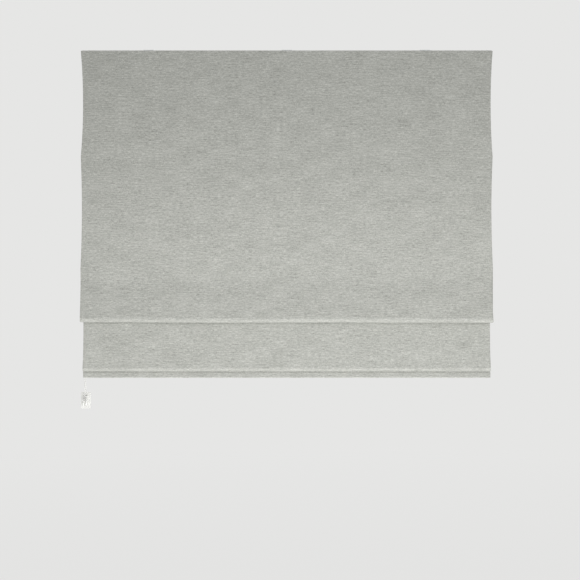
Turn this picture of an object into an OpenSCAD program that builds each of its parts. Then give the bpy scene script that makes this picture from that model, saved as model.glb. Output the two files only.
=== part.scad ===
// Roman blind on a chain-driven headrail, hung half raised.
// The cloth falls flat to the middle rod, hangs in one fold in front of the last panel, and ends in a weighted hem.
// The face looks along -Y, Z is up, and the origin is the middle of the screw holes on the ceiling plane.

/* [Blind] */
// Width of the face fabric
blind_w = 1190; // [900:10:1600]
// Fabric top edge below the ceiling
fabric_top = 4; // [3:0.5:6]
// Upper rod below the ceiling
upper_rod_drop = 310; // [250:5:350]
// Middle rod below the ceiling
middle_rod_drop = 633; // [560:5:700]
// Depth of the hanging fold below the middle rod
fold_drop = 155; // [115:5:185]
// Hem's lower edge below the middle rod
panel_drop = 316; // [240:4:360]

/* [Cloth] */
// Face fabric thickness
face_t = 1.2; // [0.8:0.1:1.4]
// Lining thickness
lining_t = 0.4; // [0.3:0.05:0.6]
// Room between face fabric and lining
layer_gap = 0.3; // [0.2:0.05:0.4]
// Width of the turned side hems
side_hem_w = 20; // [12:1:30]
// Thickness that a turned side hem adds
side_hem_t = 0.9; // [0.7:0.1:1]
// Forward lean of the cloth at the middle rod
lean = 7; // [6.8:0.1:7.2]
// Radius of the fold's lower end
bulb_r = 10.5; // [8.5:0.5:14]
// Radius of the turn over the lowest rod
turn_r = 2; // [1.8:0.1:2.2]
// How far the edges pull in above the upper rod
pull_in_top = 6; // [1:0.5:9]
// How far the edges pull in between the upper and middle rods
pull_in_middle = 3; // [1:0.5:9]
// How far the edges of the last panel pull in
pull_in_last = 8; // [2:0.5:9]
// Forward belly of the last panel above the hem
belly = 4.5; // [4:0.1:5]

/* [Hem and weight bar] */
// Height of the hem
hem_h = 21; // [19:1:30]
// How far the hem's ends stand in from the fabric's edges
hem_end_in = 6; // [4:0.5:9]
// Set-back of the hem's front from the last panel
hem_set_back = 3.1; // [2:0.1:3.4]
// Weight bar thickness
bar_t = 3; // [2:0.1:3.4]
// Weight bar height
bar_h = 14; // [8:1:15]

/* [Rods] */
// Rod diameter
rod_d = 4; // [3:0.1:4.4]
// Rod pocket wall
pocket_wall = 0.5; // [0.4:0.1:0.6]
// Height of the stitched strip of a rod pocket
strip_h = 12; // [8:0.5:12]
// Cord ring inside diameter
ring_hole_d = 10; // [9.6:0.1:11]
// Cord ring wire diameter
ring_wire_d = 2; // [1.6:0.1:2.2]

/* [Headrail] */
// Headrail depth
rail_depth = 42; // [40:0.5:48]
// Headrail height
rail_h = 36; // [36:0.5:44]
// Headrail wall
rail_wall = 1.6; // [1.2:0.1:2]
// Width of the lips along the open top
lip_w = 7; // [6:0.5:8]
// Thickness of each half of the hook and loop tape
tape_t = 1.5; // [1.2:0.1:1.8]
// Height of the hook and loop tape
tape_h = 20; // [15:1:25]

/* [Brackets] */
// Bracket plate thickness
bracket_t = 1.5; // [1.2:0.1:2]
// Bracket width along the rail
bracket_w = 30; // [24:1:40]
// Distance of the end brackets' middle from the fabric edge
bracket_inset = 195; // [170:5:230]
// Distance between a bracket's two screw holes
screw_spacing = 10; // [9:0.5:11]
// Screw hole diameter
screw_hole_d = 4.5; // [3.5:0.1:5]

/* [Lift drive] */
// Drive shaft width across flats
shaft_af = 6; // [5:0.1:7]
// Radius at which the lift cord winds
winding_r = 12; // [11.5:0.1:12]
// Lift cord diameter
cord_d = 1.2; // [1:0.1:1.4]
// Distance of the outer cords from the fabric edge
cord_inset = 95; // [80:1:120]
// Spool drum length
drum_l = 26; // [22:1:36]
// Turns of cord on each spool as shown
cord_turns = 6; // [4:1:8]

/* [Control] */
// Beads around the chain wheel
wheel_beads = 10; // [8:2:10]
// Bead diameter
bead_d = 4.5; // [4:0.1:5]
// Bead pitch
bead_pitch = 6; // [5.6:0.1:6.2]
// Hanging length of the chain in beads
chain_drop_beads = 166; // [120:1:180]
// Turns of the brake spring
spring_turns = 7; // [4:1:8]

/* [Chain tidy] */
// Width of the tidy's base plate
tidy_w = 28; // [26:0.5:36]
// Height of the tidy's base plate
tidy_h = 48; // [40:1:60]
// Distance between the tidy's screw holes
tidy_screw_spacing = 20; // [18.5:0.5:21]
// Diameter of the tidy's screw holes
tidy_hole_d = 4.2; // [3.5:0.1:4.5]

/* [Hidden] */

// Clearances
fit = 0.1;
slip = 0.3;
loose = 1;

// Colours
fabric_colour = "#b3b4ae";
lining_colour = "#f1efe9";
rail_colour = "#f3f3f1";
plastic_colour = "#f6f6f4";
steel_colour = "#c9ccce";

// Headrail place
rail_top = -bracket_t - fit;
rail_bottom = rail_top - rail_h;
rail_front = -rail_depth / 2;
rail_back = rail_depth / 2;
floor_top = rail_bottom + rail_wall;
lip_bottom = rail_top - rail_wall;
control_l = 15;
cover_t = 2;
edge_clear = 2;
rail_left = -blind_w / 2 + edge_clear + cover_t + control_l;
rail_right = blind_w / 2 - edge_clear - cover_t;
plug_l = 20;

// Cloth layers, measured from the middle of the face fabric towards the window
lining_in = face_t / 2 + layer_gap;
lining_out = lining_in + lining_t;
side_hem_out = face_t / 2 + side_hem_t;
face_y = rail_front - 2 * tape_t - lining_out;
lining_half_w = blind_w / 2 - side_hem_w - loose / 2;
pocket_half_w = lining_half_w - loose / 2;
rod_half_w = pocket_half_w - 2;

// Rods and rings, measured from the middle of the face fabric
pocket_r = rod_d / 2 + slip + pocket_wall;
strip_in = lining_out + slip;
rod_in = strip_in + pocket_r;
ring_r = (ring_hole_d + ring_wire_d) / 2;
ring_in = rod_in + pocket_r + fit + ring_r + ring_wire_d / 2;

// Fold and last panel
split_gap = 0.3;
turn_flat = 0.4;
arc_steps = 8;
middle_y = face_y - lean;
last_y = face_y + 0.5;
back_leg_y = last_y - 2 * turn_r - turn_flat;
turn_top = -middle_rod_drop - strip_h / 2 - side_hem_out - slip;
lowest_rod_z = turn_top - turn_r - slip - strip_h / 2;
fold_bottom = -middle_rod_drop - fold_drop;
lean_slope = lean / (middle_rod_drop - upper_rod_drop);
lean_turn_drop = 34;
lean_turn_r = 150;
bulb_flat = 0.4;
lean_turn = [middle_y - lean_turn_drop * lean_slope, -middle_rod_drop - lean_turn_drop];
bulb_way = [back_leg_y - bulb_r - bulb_flat, fold_bottom + bulb_r] - lean_turn;
front_slant = atan2(bulb_way[0], -bulb_way[1]) - asin(bulb_r / norm(bulb_way));
bulb_front = lean_turn[0] + (lean_turn[1] - fold_bottom) * tan(front_slant);

// Hem: the last panel swells forward, rolls in to the stitch line, and the hem hangs behind it
hem_bottom = -middle_rod_drop - panel_drop;
stitch_z = hem_bottom + hem_h;
swell_drop = 6.5;
hem_front_y = last_y + hem_set_back;
hem_gap = bar_t + 2 * slip + face_t;
hem_back_y = hem_front_y + hem_gap;
stitch_y = hem_front_y + hem_gap / 2;
swell_point = [last_y - belly, stitch_z + swell_drop];
swell_way = [stitch_y, stitch_z] - swell_point;
swell_turn = atan2(swell_way[0], -swell_way[1]) + atan2(belly, turn_top - swell_point[1]);
swell_r = 0.5 * (norm(swell_way) - 2) / tan(swell_turn / 2);
hem_turn_r = hem_gap / 2 - 0.1;
hem_corner_r = 1.5;
bar_y = stitch_y;
bar_z = hem_bottom + face_t + slip;
bar_cap_l = 4;
bar_half_w = blind_w / 2 - max(pull_in_last, hem_end_in) - edge_clear - bar_cap_l;

// Lift drive
axis_z = rail_top - 18.4;
cord_y = (middle_y + ring_in + face_y + ring_in) / 2 + 0.3;
axis_y = cord_y + winding_r;
drum_r = winding_r - cord_d / 2 - fit;
flange_r = drum_r + 2.6;
flange_t = 1.5;
journal_r = 5;
journal_l = 5;
cradle_wall = 3;
cradle_floor = 1.4;
cords = 4;
cord_x = [for (i = [0:cords - 1]) (blind_w / 2 - cord_inset) * (2 * i / (cords - 1) - 1)];
exit_side = drum_l / 2 - 9;
cord_slot = [8, 7];

// Control unit
wheel_r = bead_pitch * wheel_beads / (2 * PI);
wheel_w = 10;
wheel_rim_r = wheel_r + 0.4;
bead_pocket_r = bead_d / 2 + 0.45;
wheel_web = 2;
hub_r = 6;
core_r = 8;
core_l = 16;
spring_wire = 0.9;
spring_gap = 0.1;
spring_pitch = 1.5;
back_wall = 3;
chain_x = rail_left - back_wall - loose - wheel_w / 2;
wheel_hub_end = rail_left + core_l + 2;
shaft_left = chain_x - wheel_w / 2 + wheel_web + loose;
bush_r = 6;
bush_l = plug_l - 4;
shaft_right = rail_right - cover_t - loose;
chain_core_r = 0.8;
cavity_r = wheel_r + bead_d / 2 + loose;
cover_screw_at = [[rail_front + 4, axis_z + 14], [rail_back - 4, axis_z - 12]];
cover_screw_r = 1.2;

// Chain tidy
tidy_z = axis_z - chain_drop_beads * bead_pitch;
tidy_cheek = 2;
tidy_room = bead_d / 2 + loose;
tidy_cheek_r = wheel_r + bead_d / 2 + 2;
tidy_post_r = wheel_r - bead_d / 2 - 0.15;
tidy_base_y = axis_y + wheel_r + bead_d / 2 + loose;
tidy_base_t = 3;
tidy_pin_r = 2;

// Vectors in the YZ plane
function unit(v) = v / norm(v);
function side(v) = [-v[1], v[0]];
function flat(p) = [p[0], p[1]];
function reversed(v) = [for (i = [len(v) - 1:-1:0]) v[i]];
function turned(v, angle) = [v[0] * cos(angle) - v[1] * sin(angle), v[0] * sin(angle) + v[1] * cos(angle)];

// Points of the arc of radius r that rounds the corner at b
function corner_arc(a, b, c, r) =
  let(u = unit(a - b), v = unit(c - b), half = acos(u * v) / 2,
    middle = b + unit(u + v) * r / sin(half), start = b + u * r / tan(half) - middle,
    sweep = (180 - 2 * half) * sign(cross(-u, v)))
  [for (i = [0:arc_steps]) middle + turned(start, sweep * i / arc_steps)];

// A line through points of [y, z, corner radius]
function rounded_line(p) = [for (i = [0:len(p) - 1])
  each p[i][2] == 0 ? [flat(p[i])] : corner_arc(flat(p[i - 1]), flat(p[i]), flat(p[i + 1]), p[i][2])];

// A line moved sideways by d towards the lining
function shifted(line, d) = [for (i = [0:len(line) - 1])
  let(k = max(i, 1), m = min(i + 1, len(line) - 1),
    before = side(unit(line[k] - line[k - 1])), after = side(unit(line[m] - line[m - 1])),
    n = unit(before + after))
  line[i] + n * d / (n * before)];

// Middle lines of the face fabric
drop_line = rounded_line([[face_y, -fabric_top, 0], [face_y, -upper_rod_drop, 0], [middle_y, -middle_rod_drop, 0]]);
fold_points = [
  [middle_y - split_gap * lean_slope, -middle_rod_drop - split_gap, 0],
  [lean_turn[0], lean_turn[1], lean_turn_r],
  [bulb_front, fold_bottom, bulb_r],
  [back_leg_y, fold_bottom, bulb_r],
  [back_leg_y, turn_top, turn_r],
  [last_y, turn_top, turn_r],
  [swell_point[0], swell_point[1], swell_r]];
stitch_point = [stitch_y, stitch_z, 0];
hem_points = [
  [stitch_y, stitch_z, hem_corner_r],
  [hem_front_y, stitch_z - 5, hem_corner_r],
  [hem_front_y, hem_bottom + face_t / 2, hem_turn_r],
  [hem_back_y, hem_bottom + face_t / 2, hem_turn_r],
  [hem_back_y, stitch_z - 3, 0]];
lining_end = [each 0.08 * swell_point + 0.92 * flat(stitch_point), 0];
fold_line = rounded_line(concat(fold_points, [stitch_point]));
fold_and_hem_line = rounded_line(concat(fold_points, hem_points));
lining_fold_line = rounded_line(concat(fold_points, [lining_end]));

// Extrudes a YZ outline from x0 to x1
module along_x(x0, x1) {
  translate([x0, 0, 0]) rotate([90, 0, 90]) linear_extrude(height = x1 - x0) children();
}

// Cylinder along X from x0 to x1 round a point of the YZ plane
module rod_x(r, x0, x1, y, z, sides = 64) {
  translate([x0, y, z]) rotate([0, 90, 0]) cylinder(r = r, h = x1 - x0, $fn = sides);
}

// Hexagon along X, flats facing up and down
module hex_x(af, x0, x1) {
  translate([x0, axis_y, axis_z]) rotate([0, 90, 0]) cylinder(r = af / 2 / cos(30), h = x1 - x0, $fn = 6);
}

// Outline of cloth between two distances from its middle line
module cloth_outline(line, from, to) {
  polygon(concat(shifted(line, from), reversed(shifted(line, to))));
}

// Face fabric with turned side hems along hem_line
module face_cloth(line, hem_line) {
  along_x(-blind_w / 2, blind_w / 2) cloth_outline(line, -face_t / 2, face_t / 2);
  along_x(-blind_w / 2, -blind_w / 2 + side_hem_w) cloth_outline(hem_line, -face_t / 2, side_hem_out);
  along_x(blind_w / 2 - side_hem_w, blind_w / 2) cloth_outline(hem_line, -face_t / 2, side_hem_out);
}

// Shallow arcs that the cloth edges pull in by, between two heights and two depths
edge_straight = 6;
module edge_arcs(z0, z1, depth, y0, y1) {
  chord = z1 - z0 - 2 * edge_straight;
  r = (chord * chord / 4 + depth * depth) / (2 * depth);
  for (s = [-1, 1])
    translate([s * (blind_w / 2 - depth + r), y0, (z0 + z1) / 2])
      rotate([-90, 0, 0]) cylinder(r = r, h = y1 - y0, $fn = 720);
}

module face_fabric_drop() {
  color(fabric_colour) difference() {
    face_cloth(drop_line, drop_line);
    edge_arcs(-upper_rod_drop, -fabric_top, pull_in_top, middle_y - 5, rail_front);
    edge_arcs(-middle_rod_drop, -upper_rod_drop, pull_in_middle, middle_y - 5, rail_front);
  }
}

// The last panel's edges pull in from the lowest rod and run out a little at the hem
module last_panel_arcs() {
  top = turn_top - edge_straight;
  reach = 0.586 * (top - hem_bottom);
  r = (reach * reach + pull_in_last * pull_in_last) / (2 * pull_in_last);
  tilt = atan2(belly, turn_top - swell_point[1]);
  front = last_y - face_t - (turn_top - top + reach) * tan(tilt);
  for (s = [-1, 1])
    translate([s * (blind_w / 2 - pull_in_last + r), front, top - reach])
      rotate([-90 - tilt, 0, 0]) cylinder(r = r, h = hem_back_y + belly - front, $fn = 720);
}

// The hem's ends stand in from the fabric's edges
module hem_ends() {
  for (s = [-1, 1])
    translate([s * (blind_w / 2 - hem_end_in) - (s < 0 ? hem_end_in + 1 : 0), hem_front_y - face_t, hem_bottom - 1])
      cube([hem_end_in + 1, hem_gap + 2 * face_t, hem_h - hem_corner_r]);
}

module face_fabric_folds() {
  color(fabric_colour) difference() {
    face_cloth(fold_and_hem_line, fold_line);
    last_panel_arcs();
    hem_ends();
  }
}

module lining_drop() {
  color(lining_colour) along_x(-lining_half_w, lining_half_w) cloth_outline(drop_line, lining_in, lining_out);
}

module lining_folds() {
  color(lining_colour)
    along_x(-lining_half_w, lining_half_w) cloth_outline(lining_fold_line, lining_in, lining_out);
}

// Rod whose stitch line is at y, z on the face fabric's middle
module stiffening_rod(y, z) {
  color("white") rod_x(rod_d / 2, -rod_half_w, rod_half_w, y + rod_in, z, 32);
}

// Tape sewn to the lining as a strip with a tunnel for the rod
module rod_pocket(y, z) {
  color(lining_colour) along_x(-pocket_half_w, pocket_half_w) difference() {
    union() {
      translate([y + rod_in, z]) circle(r = pocket_r, $fn = 48);
      translate([y + strip_in, z - strip_h / 2]) square([pocket_wall, strip_h]);
    }
    translate([y + rod_in, z]) circle(r = pocket_r - pocket_wall, $fn = 48);
  }
}

// Rings sewn to a pocket, one for each lift cord
module cord_rings(y, z) {
  color(plastic_colour) for (x = cord_x)
    translate([x, y + ring_in, z]) rotate_extrude($fn = 48)
      translate([ring_r, 0]) circle(d = ring_wire_d, $fn = 24);
}

module upper_rod() { stiffening_rod(face_y, -upper_rod_drop); }
module upper_rod_pocket() { rod_pocket(face_y, -upper_rod_drop); }
module upper_cord_rings() { cord_rings(face_y, -upper_rod_drop); }
module middle_rod() { stiffening_rod(middle_y, -middle_rod_drop); }
module middle_rod_pocket() { rod_pocket(middle_y, -middle_rod_drop); }
module middle_cord_rings() { cord_rings(middle_y, -middle_rod_drop); }
module lowest_rod() { stiffening_rod(last_y, lowest_rod_z); }
module lowest_rod_pocket() { rod_pocket(last_y, lowest_rod_z); }

// Anchors on the lowest pocket that the lift cords are knotted under
anchor_r = 2.8;
anchor_h = 8;
module cord_anchors() {
  pocket_back = last_y + rod_in + pocket_r + fit;
  color(plastic_colour) for (x = cord_x) translate([x, cord_y, lowest_rod_z - anchor_h / 2]) difference() {
    union() {
      cylinder(r = anchor_r, h = anchor_h, $fn = 40);
      translate([-anchor_r, pocket_back - cord_y, anchor_h / 4])
        cube([2 * anchor_r, cord_y - pocket_back, anchor_h / 2]);
    }
    translate([0, 0, -loose]) cylinder(r = cord_d / 2 + fit, h = anchor_h + 2 * loose, $fn = 32);
  }
}

// Lift cord from its spool, through the rings, to the knot under its anchor
knot_r = 1.6;
module lift_cord(i) {
  knot_z = lowest_rod_z - anchor_h / 2 - fit - knot_r;
  color("white") translate([cord_x[i], cord_y, knot_z]) {
    sphere(r = knot_r, $fn = 32);
    cylinder(d = cord_d, h = axis_z - knot_z, $fn = 24);
  }
}

module lift_cord_1() { lift_cord(0); }
module lift_cord_2() { lift_cord(1); }
module lift_cord_3() { lift_cord(2); }
module lift_cord_4() { lift_cord(3); }

// Outline of a strip from y0, z0 that is w deep and h high, with rounded corners
module rounded_strip(y0, z0, w, h, r) {
  for (y = [y0 + r, y0 + w - r], z = [z0 + r, z0 + h - r]) translate([y, z]) circle(r = r, $fn = 32);
  translate([y0, z0 + r]) square([w, h - 2 * r]);
  translate([y0 + r, z0]) square([w - 2 * r, h]);
}

bar_corner_r = 0.3 * bar_t;
module weight_bar() {
  color(steel_colour) along_x(-bar_half_w, bar_half_w)
    rounded_strip(bar_y - bar_t / 2, bar_z, bar_t, bar_h, bar_corner_r);
}

// Push-on caps with a tongue-shaped outer end
module weight_bar_caps() {
  color(plastic_colour) for (s = [-1, 1])
    along_x(s > 0 ? bar_half_w : -bar_half_w - bar_cap_l, s > 0 ? bar_half_w + bar_cap_l : -bar_half_w)
      union() {
        translate([bar_y - bar_t / 2, bar_z + bar_t / 2]) square([bar_t, bar_h - bar_t]);
        for (z = [bar_z + bar_t / 2, bar_z + bar_h - bar_t / 2])
          translate([bar_y, z]) circle(d = bar_t, $fn = 32);
      }
}

// Open channel with two inward lips along the top
module headrail() {
  color(rail_colour) difference() {
    along_x(rail_left, rail_right) difference() {
      translate([rail_front, rail_bottom]) square([rail_depth, rail_h]);
      translate([rail_front + rail_wall, floor_top]) square([rail_depth - 2 * rail_wall, rail_h - 2 * rail_wall]);
      translate([rail_front + lip_w, lip_bottom - loose]) square([rail_depth - 2 * lip_w, rail_h]);
    }
    for (x = cord_x)
      translate([x - cord_slot[0] / 2, cord_y - cord_slot[1] / 2, rail_bottom - loose])
        cube([cord_slot[0], cord_slot[1], rail_wall + 2 * loose]);
  }
}

tape_top = rail_top - 4;
module tape(y) {
  along_x(-pocket_half_w, min(pocket_half_w, rail_right)) translate([y, tape_top - tape_h]) square([tape_t, tape_h]);
}

module hook_tape() { color("white") tape(rail_front - tape_t); }
module loop_tape() { color("white") tape(rail_front - 2 * tape_t); }

// Folded steel clip: a ceiling plate with two hooks that grip the rail's lips from inside
hook_reach = 4;
bracket_x = blind_w / 2 - bracket_inset;
module bracket(x) {
  plate_half = rail_depth / 2 - 2;
  neck = rail_depth / 2 - lip_w - slip;
  hook_z = lip_bottom - slip - bracket_t;
  color(steel_colour) difference() {
    along_x(x - bracket_w / 2, x + bracket_w / 2) union() {
      translate([-plate_half, -bracket_t]) square([2 * plate_half, bracket_t]);
      for (s = [0, 1]) mirror([s, 0]) {
        translate([neck - bracket_t, hook_z]) square([bracket_t, -hook_z]);
        translate([neck - bracket_t, hook_z]) square([bracket_t + hook_reach, bracket_t]);
      }
    }
    for (s = [-1, 1]) translate([x, s * screw_spacing / 2, -bracket_t - loose])
      cylinder(d = screw_hole_d, h = bracket_t + 2 * loose, $fn = 48);
  }
}

module bracket_left() { bracket(-bracket_x); }
module bracket_centre() { bracket(0); }
module bracket_right() { bracket(bracket_x); }

// Outline of the headrail's end, with rounded corners
end_corner_r = 2;
module end_outline() { rounded_strip(rail_front, rail_bottom, rail_depth, rail_h, end_corner_r); }

// Outline of a plug inside the rail
module plug_outline() {
  inset = rail_wall + fit;
  translate([rail_front + inset, rail_bottom + inset])
    square([rail_depth - 2 * inset, rail_h - 2 * inset]);
}

// Moulded housing: the chain wheel's chamber outside the rail and a plug inside it
plug_bore_r = core_r + spring_wire + spring_gap + 2;
module control_housing() {
  color(plastic_colour) difference() {
    union() {
      along_x(rail_left - control_l, rail_left) end_outline();
      along_x(rail_left, rail_left + plug_l) plug_outline();
    }
    rod_x(cavity_r, rail_left - control_l - loose, rail_left - back_wall, axis_y, axis_z, 96);
    rod_x(hub_r + fit, rail_left - control_l, rail_left + plug_l + loose, axis_y, axis_z);
    rod_x(plug_bore_r, rail_left, rail_left + plug_l + loose, axis_y, axis_z);
    for (s = [-1, 1])
      translate([chain_x, axis_y + s * wheel_r, rail_bottom - loose])
        cylinder(r = bead_d / 2 + loose, h = axis_z - rail_bottom + loose, $fn = 48);
    for (p = cover_screw_at)
      rod_x(cover_screw_r, rail_left - control_l - loose, rail_left - back_wall, p[0], p[1], 32);
  }
}

module control_cover() {
  color(plastic_colour) difference() {
    along_x(rail_left - control_l - cover_t, rail_left - control_l) end_outline();
    for (p = cover_screw_at)
      rod_x(cover_screw_r, rail_left - control_l - cover_t - loose, rail_left, p[0], p[1], 32);
  }
}

// Pan-head screws that hold the cover
cover_screw_head = [2.2, 1.2];
cover_screw_l = 10;
module cover_screws() {
  outside = rail_left - control_l - cover_t;
  color(steel_colour) for (p = cover_screw_at) {
    rod_x(cover_screw_r, outside, outside + cover_screw_l, p[0], p[1], 32);
    rod_x(cover_screw_head[0], outside - cover_screw_head[1], outside, p[0], p[1], 32);
  }
}

// Fixed sleeve that the brake spring grips
module brake_core() {
  color(plastic_colour) difference() {
    rod_x(core_r, rail_left, rail_left + core_l, axis_y, axis_z);
    rod_x(hub_r + fit, rail_left - loose, rail_left + core_l + loose, axis_y, axis_z);
  }
}

// Close-wound spring round the brake core, swept as a tube along its helix
spring_steps = 20;
spring_sides = 6;
spring_mid_r = core_r + spring_gap + spring_wire / 2;
spring_start = rail_left + spring_wire;
function spring_point(i, k) =
  let(turn = 360 * i / spring_steps, around = 360 * k / spring_sides,
    r = spring_mid_r + spring_wire / 2 * cos(around))
  [spring_start + spring_pitch * i / spring_steps + spring_wire / 2 * sin(around),
    axis_y + r * cos(turn), axis_z + r * sin(turn)];
module brake_spring() {
  rings = spring_turns * spring_steps;
  n = spring_sides;
  color(steel_colour) polyhedron(
    points = [for (i = [0:rings], k = [0:n - 1]) spring_point(i, k)],
    faces = concat(
      [for (i = [0:rings - 1], k = [0:n - 1]) each [
        [i * n + k, (i + 1) * n + k, i * n + (k + 1) % n],
        [(i + 1) * n + k, (i + 1) * n + (k + 1) % n, i * n + (k + 1) % n]]],
      [[for (k = [0:n - 1]) k], [for (k = [n - 1:-1:0]) rings * n + k]]));
}

// Wheel with a round pocket for each bead, a groove for the chain's core and a hub that carries the shaft
module chain_wheel() {
  groove = chain_core_r + slip;
  pocket_pitch_r = wheel_r + bead_pocket_r - bead_d / 2 - fit;
  color(plastic_colour) difference() {
    union() {
      for (s = [-1, 1])
        rod_x(wheel_rim_r, chain_x + (s < 0 ? -wheel_w / 2 : groove), chain_x + (s < 0 ? -groove : wheel_w / 2),
          axis_y, axis_z, 96);
      rod_x(wheel_r - groove, chain_x - wheel_w / 2, chain_x + wheel_w / 2, axis_y, axis_z, 96);
      rod_x(hub_r, chain_x, wheel_hub_end, axis_y, axis_z);
    }
    for (i = [0:wheel_beads - 1]) let(a = 360 * i / wheel_beads)
      rod_x(bead_pocket_r, chain_x - bead_pocket_r, chain_x + bead_pocket_r,
        axis_y + pocket_pitch_r * cos(a), axis_z + pocket_pitch_r * sin(a), 48);
    hex_x(shaft_af + 2 * fit, shaft_left - loose / 2, wheel_hub_end + loose);
  }
}

module drive_shaft() { color(steel_colour) hex_x(shaft_af, shaft_left, shaft_right); }

// Spool middle for cord i, so that the cord leaves beside the wound turns
function spool_x(i) = cord_x[i] + exit_side;

// Flanged drum with a bearing journal at each end and a hexagonal bore
module spool(i) {
  half = drum_l / 2;
  end = half + flange_t + journal_l;
  color(plastic_colour) difference() {
    union() {
      rod_x(drum_r, spool_x(i) - half, spool_x(i) + half, axis_y, axis_z, 96);
      for (s = [-1, 1]) {
        rod_x(flange_r, spool_x(i) + s * (half + flange_t / 2) - flange_t / 2,
          spool_x(i) + s * (half + flange_t / 2) + flange_t / 2, axis_y, axis_z, 96);
      }
      rod_x(journal_r, spool_x(i) - end, spool_x(i) + end, axis_y, axis_z);
    }
    hex_x(shaft_af + 2 * fit, spool_x(i) - end - loose, spool_x(i) + end + loose);
  }
}

module spool_1() { spool(0); }
module spool_2() { spool(1); }
module spool_3() { spool(2); }
module spool_4() { spool(3); }

// Turns of lift cord on each drum, as one ridged sleeve beside the leaving cord
module wound_cords() {
  inner = drum_r + fit / 2;
  color("white") for (x = cord_x)
    translate([x + cord_d / 2 + fit, axis_y, axis_z]) rotate([0, 90, 0]) rotate_extrude($fn = 64) {
      translate([inner, 0]) square([cord_d / 2, cord_turns * cord_d]);
      for (i = [0:cord_turns - 1]) translate([inner + cord_d / 2, (i + 0.5) * cord_d]) circle(d = cord_d, $fn = 20);
    }
}

// Cradle that snaps under the lips: two bearing walls on a floor with a slot for the cord
module spool_cradle(i) {
  wall_in = drum_l / 2 + flange_t + loose / 2;
  y0 = rail_front + rail_wall + slip;
  depth = rail_depth - 2 * rail_wall - 2 * slip;
  z0 = floor_top + fit;
  h = lip_bottom - slip - z0;
  color(plastic_colour) difference() {
    union() {
      for (s = [-1, 1]) {
        x = spool_x(i) + s * (wall_in + cradle_wall / 2) - cradle_wall / 2;
        along_x(x, x + cradle_wall) difference() {
          translate([y0, z0]) square([depth, h]);
          translate([y0 + lip_w, z0 + h - 3]) square([depth - 2 * lip_w, 4]);
        }
      }
      translate([spool_x(i) - wall_in - cradle_wall, y0, z0]) cube([2 * (wall_in + cradle_wall), depth, cradle_floor]);
    }
    rod_x(journal_r + fit, spool_x(i) - wall_in - cradle_wall - loose, spool_x(i) + wall_in + cradle_wall + loose,
      axis_y, axis_z);
    translate([cord_x[i] - cord_slot[0] / 2, cord_y - cord_slot[1] / 2, z0 - loose])
      cube([cord_slot[0], cord_slot[1], cradle_floor + 2 * loose]);
  }
}

module spool_cradle_1() { spool_cradle(0); }
module spool_cradle_2() { spool_cradle(1); }
module spool_cradle_3() { spool_cradle(2); }
module spool_cradle_4() { spool_cradle(3); }

module end_bush() {
  color(plastic_colour) difference() {
    rod_x(bush_r, rail_right - plug_l, rail_right - plug_l + bush_l, axis_y, axis_z);
    hex_x(shaft_af + 2 * fit, rail_right - plug_l - loose, rail_right);
  }
}

module end_cap() {
  color(plastic_colour) difference() {
    union() {
      along_x(rail_right, rail_right + cover_t) end_outline();
      along_x(rail_right - plug_l, rail_right) plug_outline();
    }
    rod_x(bush_r + fit, rail_right - plug_l - loose, rail_right - plug_l + bush_l + fit, axis_y, axis_z);
    hex_x(shaft_af + 2 * loose, rail_right - plug_l, rail_right - loose);
  }
}

// Straight run of beads, turned as one profile
bead_reach = 60;
module bead_run(count) {
  r = bead_d / 2;
  color("white") rotate_extrude($fn = 24) polygon(concat(
    [[0, 0], [chain_core_r, 0]],
    [for (n = [1:count - 1], a = [-bead_reach, -20, 20, bead_reach, 90])
      a == 90 ? [chain_core_r, (n + 0.5) * bead_pitch] : [r * cos(a), n * bead_pitch + r * sin(a)]],
    [[chain_core_r, count * bead_pitch], [0, count * bead_pitch]]));
}

// Half turn of beads round an axis at height z, over it or under it
module bead_half_turn(z, under) {
  translate([chain_x, axis_y, z]) rotate([0, 90, 0]) {
    rotate([0, 0, under ? -90 : 90]) rotate_extrude(angle = 180, $fn = 96)
      translate([wheel_r, 0]) circle(r = chain_core_r, $fn = 24);
    for (i = [0:wheel_beads / 2]) rotate([0, 0, (under ? -90 : 90) + 360 * i / wheel_beads])
      translate([wheel_r, 0, 0]) sphere(d = bead_d, $fn = 24);
  }
}

module bead_chain() {
  color("white") {
    for (s = [-1, 1]) translate([chain_x, axis_y + s * wheel_r, tidy_z]) bead_run(chain_drop_beads);
    bead_half_turn(axis_z, false);
    bead_half_turn(tidy_z, true);
  }
}

// Side outline of the tidy's cheeks
module tidy_cheek_outline() {
  translate([axis_y, tidy_z]) circle(r = tidy_cheek_r, $fn = 64);
  translate([axis_y, tidy_z - tidy_cheek_r]) square([tidy_base_y - axis_y, 2 * tidy_cheek_r]);
}

// Base plate, one cheek and the post that the chain runs under
module tidy_body() {
  left = chain_x - tidy_room - tidy_cheek;
  color(plastic_colour) difference() {
    union() {
      translate([chain_x - tidy_w / 2, tidy_base_y, tidy_z - tidy_h / 2]) cube([tidy_w, tidy_base_t, tidy_h]);
      along_x(left, left + tidy_cheek) tidy_cheek_outline();
      rod_x(tidy_post_r, left + tidy_cheek / 2, chain_x + tidy_room, axis_y, tidy_z);
    }
    rod_x(tidy_pin_r + fit, chain_x - tidy_room, chain_x + tidy_room + loose, axis_y, tidy_z, 32);
    for (s = [-1, 1]) translate([chain_x + s * tidy_screw_spacing / 2, tidy_base_y - loose, tidy_z])
      rotate([-90, 0, 0]) cylinder(d = tidy_hole_d, h = tidy_base_t + 2 * loose, $fn = 48);
  }
}

// Cheek that snaps on to close the chain in
module tidy_cover() {
  right = chain_x + tidy_room;
  color(plastic_colour) {
    along_x(right, right + tidy_cheek) difference() {
      tidy_cheek_outline();
      translate([tidy_base_y - fit, tidy_z - tidy_h]) square([tidy_base_t, 2 * tidy_h]);
    }
    rod_x(tidy_pin_r, chain_x - tidy_room + fit, right + tidy_cheek / 2, axis_y, tidy_z, 32);
  }
}

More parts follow.
